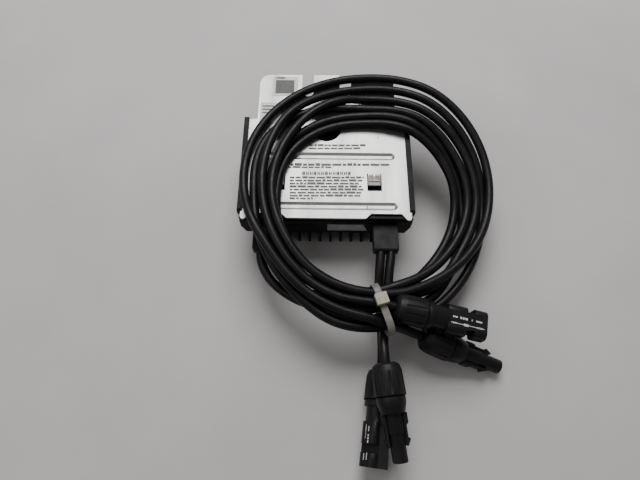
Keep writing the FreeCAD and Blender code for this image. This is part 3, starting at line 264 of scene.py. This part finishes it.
# print on the plate: rows of plain bars, each row (left, right, far edge, near edge)
printSizes = {"plate": 41.6, "thick": 0.05, "sink": 0.03, "seed": 7, "word": (1.8, 6.6),
              "gap": (0.55, 0.9), "slant": 0.0115, "boldWiden": 1.15, "tallShare": 0.25,
              "headingPair": ((0.0, 0.3), (0.52, 0.78)), "headingThird": ((0.0, 0.26), (0.3, 0.76)),
              "headingLine": (1.2, 1.9), "headingSpan": 0.76, "lineRise": 0.01,
              "spots": ((29.9, -45.7), (39.9, 14.7)), "spotHalf": 0.5,
              "columns": (-50.4, -47.8, -45.2), "columnWidth": 1.1, "columnEnds": (30.0, 4.0),
              "columnBar": (1.6, 5.0), "columnGap": (0.6, 1.0), "tabRow": (55.8, 56.9),
              "tabWords": ((24.6, 3.4), (29.2, 2.2), (33.0, 4.6), (39.4, 3.4))}
printRows = {
    "fine": [(-13.3, 31.3, 7.9, 6.2), (-13.3, 25.8, 5.0, 3.5), (-28.3, 3.9, -12.0, -13.4),
             (-27.1, 28.0, -20.8, -22.4), (-27.0, 27.6, -23.4, -25.0), (-27.0, 24.0, -26.0, -27.6),
             (-26.9, 26.2, -28.6, -30.2), (-26.8, 27.8, -31.1, -32.7), (-26.7, 25.8, -33.8, -35.3),
             (-26.7, 24.9, -36.3, -37.8), (-26.6, -9.6, -38.7, -40.1)],
    "bold": [(-26.8, 47.5, -9.4, -11.4)],
    "heading": (-18.0, 18.9, -16.4, -19.6, 13),
}


def addBar(bm, sizes, x1, x2, y1, y2, rise=0.0):
    addSlab(bm, x1, x2, y1, y2, sizes["plate"] - sizes["sink"],
            sizes["plate"] + sizes["thick"] + rise)


def addWords(bm, rng, row, sizes, widen=1.0):
    left, right, far, near = row
    x = left
    while x < right - 1:
        end = min(x + rng.uniform(*sizes["word"]) * widen, right)
        lift = (x + end) / 2 * sizes["slant"]
        tall = rng.choice((0.0, 0.0, sizes["tallShare"])) * (far - near)
        addBar(bm, sizes, x, end, near + lift, far + lift + tall)
        x = end + rng.uniform(*sizes["gap"])


def addHeading(bm, row, sizes):
    left, right, far, near, count = row
    pitch = (right - left) / count
    low, high = sizes["headingLine"]
    for number in range(count):
        x = left + pitch * number
        lift = x * sizes["slant"]
        for first, last in sizes["headingPair"] if number % 3 else sizes["headingThird"]:
            addBar(bm, sizes, x + pitch * first, x + pitch * last, near + lift, far + lift)
        addBar(bm, sizes, x, x + pitch * sizes["headingSpan"], near + low + lift,
               near + high + lift, sizes["lineRise"])


def addPlatePrint(sizes):
    rng = random.Random(sizes["seed"])
    bm = bmesh.new()
    for row in printRows["fine"]:
        addWords(bm, rng, row, sizes)
    for row in printRows["bold"]:
        addWords(bm, rng, row, sizes, sizes["boldWiden"])
    addHeading(bm, printRows["heading"], sizes)
    half = sizes["spotHalf"]
    for x, y in sizes["spots"]:
        addBar(bm, sizes, x - half, x + half, y - half, y + half)
    for x in sizes["columns"]:
        y, last = sizes["columnEnds"]
        while y > last:
            span = rng.uniform(*sizes["columnBar"])
            addBar(bm, sizes, x, x + sizes["columnWidth"], y - span, y)
            y -= span + rng.uniform(*sizes["columnGap"])
    for x, width in sizes["tabWords"]:
        addBar(bm, sizes, x, x + width, *sizes["tabRow"])
    newObject("platePrint", bm, finishes["ink"])


addPlatePrint(printSizes)

# plain stickers: on the tab, on the plate and, in grey, on the front wall
stickerSizes = {"tab": (-43.9, -23.5, 54.3, 74.1), "plate": (-52.6, -36.0, 28.0, 47.6),
                "corner": 1.0, "level": 41.6, "sink": 0.05, "thick": 0.12,
                "field": (-41.6, -26.4, 56.8, 70.6), "lines": (9.0, 12.5, 7.0),
                "lineStart": (-51.0, 44.6), "linePitch": 3.2, "lineWidth": 1.4, "fieldRise": 0.08,
                "stain": (-41.4, -34.0, 71.6, 74.4), "stainSeed": 11, "stainSteps": 9,
                "stainRagged": (-0.5, 0.9), "stainInset": 0.4, "stainRise": 0.09,
                "wall": (1.3, 31.0, 21.9, 31.5), "wallFace": -55.4, "wallRise": 0.2, "slant": 3.4}


def addOutline(bm, corners, lift):
    low = [bm.verts.new(Vector(corner) * mm) for corner in corners]
    high = [bm.verts.new((Vector(corner) + Vector(lift)) * mm) for corner in corners]
    bm.faces.new(high)
    bm.faces.new(list(reversed(low)))
    for index in range(len(corners)):
        after = (index + 1) % len(corners)
        bm.faces.new([low[index], low[after], high[after], high[index]])


def roundedCorners(x1, x2, y1, y2, radius, level):
    corners = []
    for cx, cy, begin in ((x2 - radius, y1 + radius, -90), (x2 - radius, y2 - radius, 0),
                          (x1 + radius, y2 - radius, 90), (x1 + radius, y1 + radius, 180)):
        for step in range(5):
            turn = math.radians(begin + step * 22.5)
            corners.append((cx + radius * math.cos(turn), cy + radius * math.sin(turn), level))
    return corners


def addStickers(sizes):
    low = sizes["level"] - sizes["sink"]
    for name, key in (("tabSticker", "tab"), ("plateSticker", "plate")):
        bm = bmesh.new()
        addOutline(bm, roundedCorners(*sizes[key], sizes["corner"], low),
                   (0, 0, sizes["thick"] + sizes["sink"]))
        newObject(name, bm, finishes["label"])
    bm = bmesh.new()
    x1, x2, y1, y2 = sizes["stain"]
    rng = random.Random(sizes["stainSeed"])
    steps, far = sizes["stainSteps"], y2 - sizes["stainInset"]
    edge = [(x1 + (x2 - x1) * step / steps, y1 + rng.uniform(*sizes["stainRagged"]), low)
            for step in range(steps + 1)]
    edge += [(x2, far, low), (x1, far, low)]
    addOutline(bm, edge, (0, 0, sizes["thick"] + sizes["stainRise"]))
    newObject("stickerStain", bm, finishes["stain"])
    bm = bmesh.new()
    high = low + sizes["thick"] + sizes["fieldRise"]
    addSlab(bm, *sizes["field"], low, high)
    left, top = sizes["lineStart"]
    for number, width in enumerate(sizes["lines"]):
        y = top - number * sizes["linePitch"]
        addSlab(bm, left, left + width, y - sizes["lineWidth"], y, low, high)
    newObject("stickerFields", bm, finishes["ink"])
    bm = bmesh.new()
    x1, x2, z1, z2 = sizes["wall"]
    face = sizes["wallFace"] + sizes["sink"]
    corners = [(x1, face, z1), (x2, face, z1), (x2 - sizes["slant"], face, z2), (x1, face, z2)]
    addOutline(bm, corners, (0, -sizes["wallRise"], 0))
    newObject("frontWallSticker", bm, finishes["wallLabel"])


addStickers(stickerSizes)

# pressed ribs on the bent tongues, with thin fields of colour between them
tongueSizes = {"middle": 35.8, "far": -18.2, "near": -24.6, "half": 3.6, "inner": 1.2, "rib": 0.7,
               "top": 41.62, "bend": -19.8, "fall": 0.19, "rise": 0.45, "slope": 1.0, "root": 0.4,
               "bar": (0.7, 1.5), "barMiddle": 1.2, "barSink": 0.05, "fieldFar": 0.6,
               "fieldNear": 1.6, "fieldSkin": (0.1, 0.08)}


def addTongueRibs(sizes):
    bm = bmesh.new()
    half, inner, bend, far, near = (sizes[key] for key in ("half", "inner", "bend", "far", "near"))

    def level(y):
        return sizes["top"] - max(0, bend - y) * sizes["fall"]

    for side in (-1, 1):
        middle = sizes["middle"] * side
        for offset in (-half, -inner, inner, half):
            x = middle + offset - sizes["rib"] / 2
            corners = [(x, y, level(y) + rise)
                       for y, rise in ((far, 0), (far - sizes["slope"], sizes["rise"]),
                                       (near + sizes["slope"], sizes["rise"]), (near, 0))]
            corners += [(x, near, corners[-1][2] - sizes["root"]),
                        (x, far, corners[0][2] - sizes["root"])]
            addOutline(bm, corners, (sizes["rib"], 0, 0))
        low, high = (near + edge for edge in sizes["bar"])
        height = level(near + sizes["barMiddle"])
        addSlab(bm, middle - half, middle + half, low, high, height - sizes["root"],
                height + sizes["rise"] - sizes["barSink"])
        below, above = sizes["fieldSkin"]
        places = (far - sizes["fieldFar"], bend, near + sizes["fieldNear"])
        for first, last in ((-half, -inner), (inner, half)):
            x = middle + first
            corners = [(x, y, level(y) - below) for y in places]
            corners += [(x, y, level(y) + above) for y in reversed(places)]
            addOutline(bm, corners, (last - first, 0, 0))
    bmesh.ops.recalc_face_normals(bm, faces=bm.faces)
    newObject("tongueRibs", bm, finishes["ribSteel"])


addTongueRibs(tongueSizes)
print("print, stickers and ribs made")

# cords: routes in millimetres, each one open spline
cordSizes = {"diameter": 6.6, "coilMiddle": (31.0, -37.0), "step": 15, "pull": 1.0086,
             "fineness": 6, "beforeNut": -9, "inNut": 5, "exitInside": 1.0}

# each strand of the wound leads at its stations: angle, radius, height
strands = {
    "outermost": [(330, 82.2, 31.8), (345, 86.6, 30.2), (0, 91.6, 28.6), (15, 97.0, 30.8),
                  (30, 102.0, 35.5), (45, 105.6, 41.6), (60, 107.6, 46.8), (90, 107.0, 45.2),
                  (120, 104.8, 45.3), (150, 99.0, 45.4), (180, 90.4, 45.7), (195, 86.4, 50.6),
                  (210, 83.0, 49.7), (240, 86.2, 43.8), (255, 88.4, 42.2)],
    "second": [(315, 89.0, 22.6), (330, 87.4, 22.7), (345, 86.8, 22.4), (0, 87.6, 22.8),
               (15, 90.2, 29.8), (30, 93.6, 35.5), (60, 97.2, 46.9), (90, 95.5, 45.0),
               (105, 94.5, 45.6), (120, 92.6, 48.6), (135, 88.8, 51.6), (150, 83.6, 51.4),
               (180, 76.8, 51.0), (210, 75.9, 49.6), (240, 79.4, 44.4), (255, 80.4, 42.7)],
    "third": [(330, 76.2, 29.4), (0, 81.9, 30.2), (15, 83.8, 34.0), (30, 85.9, 37.6),
              (60, 87.2, 47.2), (90, 84.5, 45.5), (105, 83.6, 50.0), (120, 80.2, 51.0),
              (135, 76.4, 51.2), (150, 72.9, 51.6), (180, 70.1, 51.0), (210, 69.1, 49.7),
              (240, 72.4, 44.9), (255, 72.8, 42.7)],
    "fourth": [(330, 69.8, 30.4), (0, 75.2, 30.6), (15, 77.0, 34.2), (30, 77.6, 38.0),
               (60, 78.8, 46.9), (90, 75.2, 45.0), (105, 79.2, 44.9), (120, 85.2, 44.9),
               (135, 89.6, 44.9), (150, 90.4, 44.9), (180, 83.0, 45.0), (195, 83.6, 44.2),
               (210, 84.8, 42.8), (240, 91.2, 37.8), (255, 96.4, 36.2)],
    "fifth": [(330, 75.0, 22.8), (0, 72.0, 24.3), (15, 72.4, 29.0), (30, 72.2, 34.4),
              (60, 71.6, 47.4), (90, 68.4, 45.6), (120, 71.5, 45.1), (150, 74.2, 44.9),
              (180, 73.4, 45.0), (210, 76.7, 42.8), (240, 77.0, 38.2), (255, 77.4, 36.0)],
    "innermost": [(330, 64.2, 27.0), (0, 66.0, 28.9), (15, 67.2, 33.4), (30, 66.3, 38.0),
                  (60, 64.6, 47.0), (90, 61.6, 45.2), (120, 64.7, 45.0), (150, 67.5, 44.9),
                  (180, 66.7, 45.0), (210, 69.8, 43.0), (240, 69.8, 38.4), (255, 70.8, 36.4)],
}
# how a strand goes through the tie into its next turn: angle, radius, height
passages = {
    "start to fifth": [(255, 90.2, 35.0), (270, 90.6, 33.6), (285, 84.0, 25.0), (300, 84.6, 23.0)],
    "start to innermost": [(255, 83.8, 35.2), (270, 84.2, 34.0), (285, 72.6, 24.6),
                           (300, 67.4, 25.6)],
    "fifth to third": [(270, 77.8, 33.8), (285, 74.2, 31.2), (300, 79.2, 29.2)],
    "innermost to fourth": [(270, 71.4, 34.6), (285, 69.0, 36.8), (300, 68.8, 34.2)],
    "fourth to second": [(270, 96.0, 34.0), (285, 90.8, 24.6), (300, 91.4, 22.6)],
    "third to outermost": [(270, 73.4, 40.6), (285, 75.6, 38.6), (300, 76.0, 36.0)],
    "outermost to end": [(270, 90.4, 40.2)],
    "second to end": [(270, 79.6, 41.0)],
}
outerStart = [(-47.3, -75.5, 28.9), (-46.6, -82.6, 28.8), (-43.6, -90.5, 28.3),
              (-38.2, -98.9, 28.1), (-29.6, -106.6, 28.6), (-19.8, -112.8, 30.4),
              (-9.0, -117.6, 33.0)]
innerStart = [(-39.9, -75.5, 28.9), (-39.2, -82.6, 28.8), (-36.2, -89.0, 28.1),
              (-30.4, -96.1, 27.8), (-22.2, -102.5, 28.4), (-12.6, -107.9, 30.6),
              (-2.0, -112.2, 33.4)]
lowerEnd = [(38.5, -130.6, 37.6), (47.0, -131.4, 33.2), (58.0, -132.2, 23.6), (71.6, -136.5, 19.7)]
upperEnd = [(38.2, -118.3, 41.2), (51.1, -120.9, 39.2)]
leftInput = [(39.85, -75.5, 28.9), (39.6, -80.0, 28.8), (38.5, -90.0, 27.8),
             (38.0, -102.0, 23.8), (38.8, -116.0, 18.2), (40.3, -131.0, 13.0)]
rightInput = [(47.35, -75.5, 28.9), (47.1, -80.0, 28.8), (45.4, -90.0, 28.2),
              (44.4, -102.5, 26.2), (42.6, -117.2, 24.9), (40.2, -133.0, 25.2)]
connectorAxes = {
    "upper_output": ((46.2, -120.0, 40.0), (108.7, -131.3, 30.2), 0),
    "lower_output": ((67.0, -135.0, 21.0), (122.6, -152.6, 5.3), 0),
    "left_input": ((39.4, -156.3, 10.4), (31.8, -217.9, 10.2), -52),
    "right_input": ((39.3, -155.5, 32.8), (47.0, -214.6, 26.3), 0),
}


def onAxis(lead, forward):
    rear, front = (Vector(end) for end in connectorAxes[lead][:2])
    return tuple(rear + (front - rear).normalized() * forward)


def axisMatrix(lead):
    rear, tip, roll = connectorAxes[lead]
    along = (Vector(tip) - Vector(rear)).normalized()
    across = Vector((0, 0, 1)).cross(along).normalized()
    up = along.cross(across)
    turn = Matrix((along, across, up)).transposed().to_4x4()
    return (Matrix.Translation(Vector(rear) * mm) @ turn
            @ Matrix.Rotation(math.radians(roll), 4, "X"))


# rings and marks of the connectors, in each one's own axes: a mark is (first, last, across, half
# width), and a face is (height, turn about the axis, how wide the marks spread on it)
connectorSizes = {"ring": (20.65, 10.15, 0.55), "ringDepth": 1.2, "ringSlope": 0.4, "steps": 48,
                  "smooth": 50,
                  "marks": ((38.0, 41.2, 0.8, 0.5), (43.0, 44.2, 0.8, 0.75),
                            (44.7, 46.0, 0.8, 0.75), (46.5, 48.2, 0.8, 0.75),
                            (51.0, 51.5, 0.8, 0.6), (54.0, 58.2, 0.8, 0.5),
                            (37.0, 45.8, -3.4, 0.22), (38.2, 41.0, -3.4, 0.5),
                            (45.8, 49.0, -3.4, 0.8), (49.0, 60.0, -3.4, 0.22),
                            (54.6, 58.4, -3.4, 0.5)),
                  "faces": {"upper_output": (6.7, 0, 1.0), "left_input": (10.0, 90, 0.5)},
                  "window": (48.5, 54.0), "markSink": 0.1, "markRise": 0.06}


# the tie's head with its slot, and the teeth of its strap
tieSizes = {"middle": (38.2, -121.1, 37.4), "across": (0.307, -0.952, 0.0), "top": 8.1,
            "seat": 0.3, "head": (-8.4, -0.6, 4.2), "headTop": 12.2, "headEdge": 0.5,
            "slotInset": 1.2, "slotBars": (1.6, 2.3), "slotRise": 0.25,
            "teeth": (0.6, 10.5, 1.1), "tooth": 1.7, "toothShare": 0.45, "toothRise": 0.18}


def addTieDetails(sizes):
    across = Vector(sizes["across"]).normalized()
    along = Vector((0, 0, 1)).cross(across)
    turn = Matrix((across, along, Vector((0, 0, 1)))).transposed().to_4x4()
    turn = Matrix.Translation(Vector(sizes["middle"]) * mm) @ turn
    x1, x2, half = sizes["head"]
    seat, high = sizes["seat"], sizes["headTop"]
    bm = bmesh.new()
    addSlab(bm, x1, x2, -half, half, sizes["top"] + seat, high)
    bmesh.ops.bevel(bm, geom=list(bm.edges), offset=sizes["headEdge"] * mm, offset_type="OFFSET",
                    affect="EDGES", segments=2, profile=0.5, material=-1)
    near, far = sizes["slotBars"]
    for first, last in ((near - half, far - half), (half - far, half - near)):
        addSlab(bm, x1 + sizes["slotInset"], x2 - sizes["slotInset"], first, last, high - seat,
                high + sizes["slotRise"])
    bmesh.ops.transform(bm, matrix=turn, verts=bm.verts)
    newObject("tieHead", bm, finishes["tieHead"])
    bm = bmesh.new()
    x, last, step = sizes["teeth"]
    while x < last:
        addSlab(bm, x, x + step * sizes["toothShare"], -sizes["tooth"], sizes["tooth"],
                sizes["top"] - seat, sizes["top"] + sizes["toothRise"])
        x += step
    bmesh.ops.transform(bm, matrix=turn, verts=bm.verts)
    newObject("tieTeeth", bm, finishes["tie"])


addTieDetails(tieSizes)


def addRing(bm, sizes, turn):
    place, radius, half = sizes["ring"]
    root, edge = radius - sizes["ringDepth"], radius - half * sizes["ringSlope"]
    profile = [(place - half, root), (place - half, edge), (place - half / 2, radius),
               (place + half / 2, radius), (place + half, edge), (place + half, root)]
    loops = []
    for step in range(sizes["steps"]):
        angle = 2 * math.pi * step / sizes["steps"]
        loops.append([bm.verts.new(turn @ Vector((x * mm, r * math.cos(angle) * mm,
                                                  r * math.sin(angle) * mm)))
                      for x, r in profile])
    for loop, following in zip(loops, loops[1:] + loops[:1]):
        for index in range(len(profile)):
            after = (index + 1) % len(profile)
            bm.faces.new([loop[index], loop[after], following[after], following[index]])


def addConnectorDetails(lead, sizes):
    turn = axisMatrix(lead)
    bm = bmesh.new()
    # this ring is painted shade: a dark band that fills the shaded gap behind the cap nut
    addRing(bm, sizes, turn)
    bmesh.ops.recalc_face_normals(bm, faces=bm.faces)
    words = lead.split("_")
    name = words[0] + words[1].capitalize()
    pieces = [newObject(name + "SealRing", bm, finishes["gap"],
                        smooth=sizes["smooth"])]
    if lead in sizes["faces"]:
        top, turned, spread = sizes["faces"][lead]
        near, far = sizes["window"]
        bm = bmesh.new()
        for first, last, across, half in sizes["marks"]:
            if turned and last > near and first < far:
                continue
            addSlab(bm, first, last, (across - half) * spread, (across + half) * spread,
                    top - sizes["markSink"], top + sizes["markRise"])
        turn = turn @ Matrix.Rotation(math.radians(turned), 4, "X")
        bmesh.ops.transform(bm, matrix=turn, verts=bm.verts)
        pieces.append(newObject(name + "Marks", bm, finishes["mark"]))
    return pieces


def smoothValue(before, first, second, after, share):
    # a curve through first and second, with slopes from their neighbours
    spanA, spanB, spanC = first[0] - before[0], second[0] - first[0], after[0] - second[0]
    values = []
    for place in (1, 2):
        slopeB = (second[place] - first[place]) / spanB
        slopeA = (first[place] - before[place]) / spanA if spanA else slopeB
        slopeC = (after[place] - second[place]) / spanC if spanC else slopeB
        start, end = (slopeA + slopeB) / 2 * spanB, (slopeB + slopeC) / 2 * spanB
        cube, square = share ** 3, share ** 2
        values.append((2 * cube - 3 * square + 1) * first[place]
                      + (cube - 2 * square + share) * start
                      + (3 * square - 2 * cube) * second[place] + (cube - square) * end)
    return values


def woundPoints(order):
    # order: passages and strands in turn, laid end to end with angles that keep growing
    stations, turns, last = [], 0, 0
    for name in order:
        for angle, radius, height in (passages.get(name) or strands[name]):
            if angle < last:
                turns += 360
            last = angle
            stations.append((angle + turns, radius, height))
    points, angle = [], stations[0][0]
    while angle <= stations[-1][0]:
        index = max(i for i, station in enumerate(stations) if station[0] <= angle)
        index = min(index, len(stations) - 2)
        first, second = stations[index], stations[index + 1]
        before = stations[max(index - 1, 0)]
        after = stations[min(index + 2, len(stations) - 1)]
        share = (angle - first[0]) / (second[0] - first[0])
        radius, height = smoothValue(before, first, second, after, share)
        radius *= cordSizes["pull"]
        turn = math.radians(angle)
        points.append((cordSizes["coilMiddle"][0] + radius * math.cos(turn),
                       cordSizes["coilMiddle"][1] + radius * math.sin(turn), height))
        angle += cordSizes["step"]
    return points


def makeCord(name, points, finish):
    curve = bpy.data.curves.new(name, "CURVE")
    curve.dimensions = "3D"
    spline = curve.splines.new("NURBS")
    spline.points.add(len(points) - 1)
    for control, point in zip(spline.points, points):
        control.co = (*(Vector(point) * mm), 1)
    spline.order_u = 3
    spline.use_endpoint_u = True
    spline.resolution_u = cordSizes["fineness"]
    curve.bevel_depth = cordSizes["diameter"] / 2 * mm
    curve.bevel_resolution = cordSizes["fineness"]
    curve.use_fill_caps = True
    curve.materials.append(finish)
    cord = bpy.data.objects.new(name, curve)
    bpy.context.scene.collection.objects.link(cord)
    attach(cord, "root")
    return cord


outerLead = outerStart + woundPoints(["start to fifth", "fifth", "fifth to third", "third",
                                      "third to outermost", "outermost", "outermost to end"])
outerLead += lowerEnd
innerLead = innerStart + woundPoints(["start to innermost", "innermost", "innermost to fourth",
                                      "fourth", "fourth to second", "second", "second to end"])
innerLead += upperEnd


def inputRoute(lead, points):
    return points + [onAxis(lead, cordSizes["beforeNut"]), onAxis(lead, cordSizes["inNut"])]


leads = {
    "outerOutputLead": (outerLead, "lower_output", 1.70, "coiled",
                        ("output_cable_outer_start", "output_cable_coil",
                         "output_cable_lower_end")),
    "innerOutputLead": (innerLead, "upper_output", 1.64, "coiled",
                        ("output_cable_inner_start", "output_cable_coil",
                         "output_cable_upper_end")),
    "leftInputLead": (inputRoute("left_input", leftInput), "left_input", 0.087, "loose",
                      ("input_cable_left",)),
    "rightInputLead": (inputRoute("right_input", rightInput), "right_input", 0.087, "loose",
                       ("input_cable_right",)),
}
for cordName, (route, lead, length, lay, replaced) in leads.items():
    cord = makeCord(cordName, route, finishes["jacket"])
    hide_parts(*replaced)
    carried = [soft[lead + "_cap_nut"], soft[lead + "_connector_body"], nodes[lead + "_seal"],
               nodes[lead + "_contact"]] + addConnectorDetails(lead, connectorSizes)
print("cords laid")


# floor and soft light
stageSizes = {"floor": 1.6, "drop": 0.0004, "keyPlace": (0.0, 0.62, 1.0), "keySize": 0.8,
              "keyPower": 17.0, "fillPlace": (-0.8, -0.2, 0.9), "fillSize": 0.9, "fillPower": 2.5,
              "target": (0.03, -0.04, 0.03), "world": (0.735, 0.72, 0.72), "worldStrength": 0.38}


def addLight(name, place, size, power, target):
    data = bpy.data.lights.new(name, "AREA")
    data.shape = "DISK"
    data.size = size
    data.energy = power
    light = bpy.data.objects.new(name, data)
    bpy.context.scene.collection.objects.link(light)
    light.location = place
    light.rotation_euler = (Vector(place) - Vector(target)).to_track_quat("Z", "Y").to_euler()


def addStage(sizes):
    bm = bmesh.new()
    bmesh.ops.create_grid(bm, x_segments=1, y_segments=1, size=sizes["floor"])
    bmesh.ops.translate(bm, vec=(0, 0, -sizes["drop"]), verts=bm.verts)
    mesh = bpy.data.meshes.new("paleFloor")
    bm.to_mesh(mesh)
    bm.free()
    mesh.materials.append(newFinish("paleFloorPaint", (0.425, 0.413, 0.408),
                                    (0.475, 0.463, 0.457), 0.75, patch=7, grain=500,
                                    grainDepth=0.04))
    floor = bpy.data.objects.new("paleFloor", mesh)
    bpy.context.scene.collection.objects.link(floor)
    world = bpy.data.worlds.new("softRoom")
    world.use_nodes = True
    background = world.node_tree.nodes["Background"]
    background.inputs["Color"].default_value = (*sizes["world"], 1)
    background.inputs["Strength"].default_value = sizes["worldStrength"]
    bpy.context.scene.world = world
    for light in ("key", "fill"):
        addLight(light + "Light", sizes[light + "Place"], sizes[light + "Size"],
                 sizes[light + "Power"], sizes["target"])


addStage(stageSizes)
print("stage set")
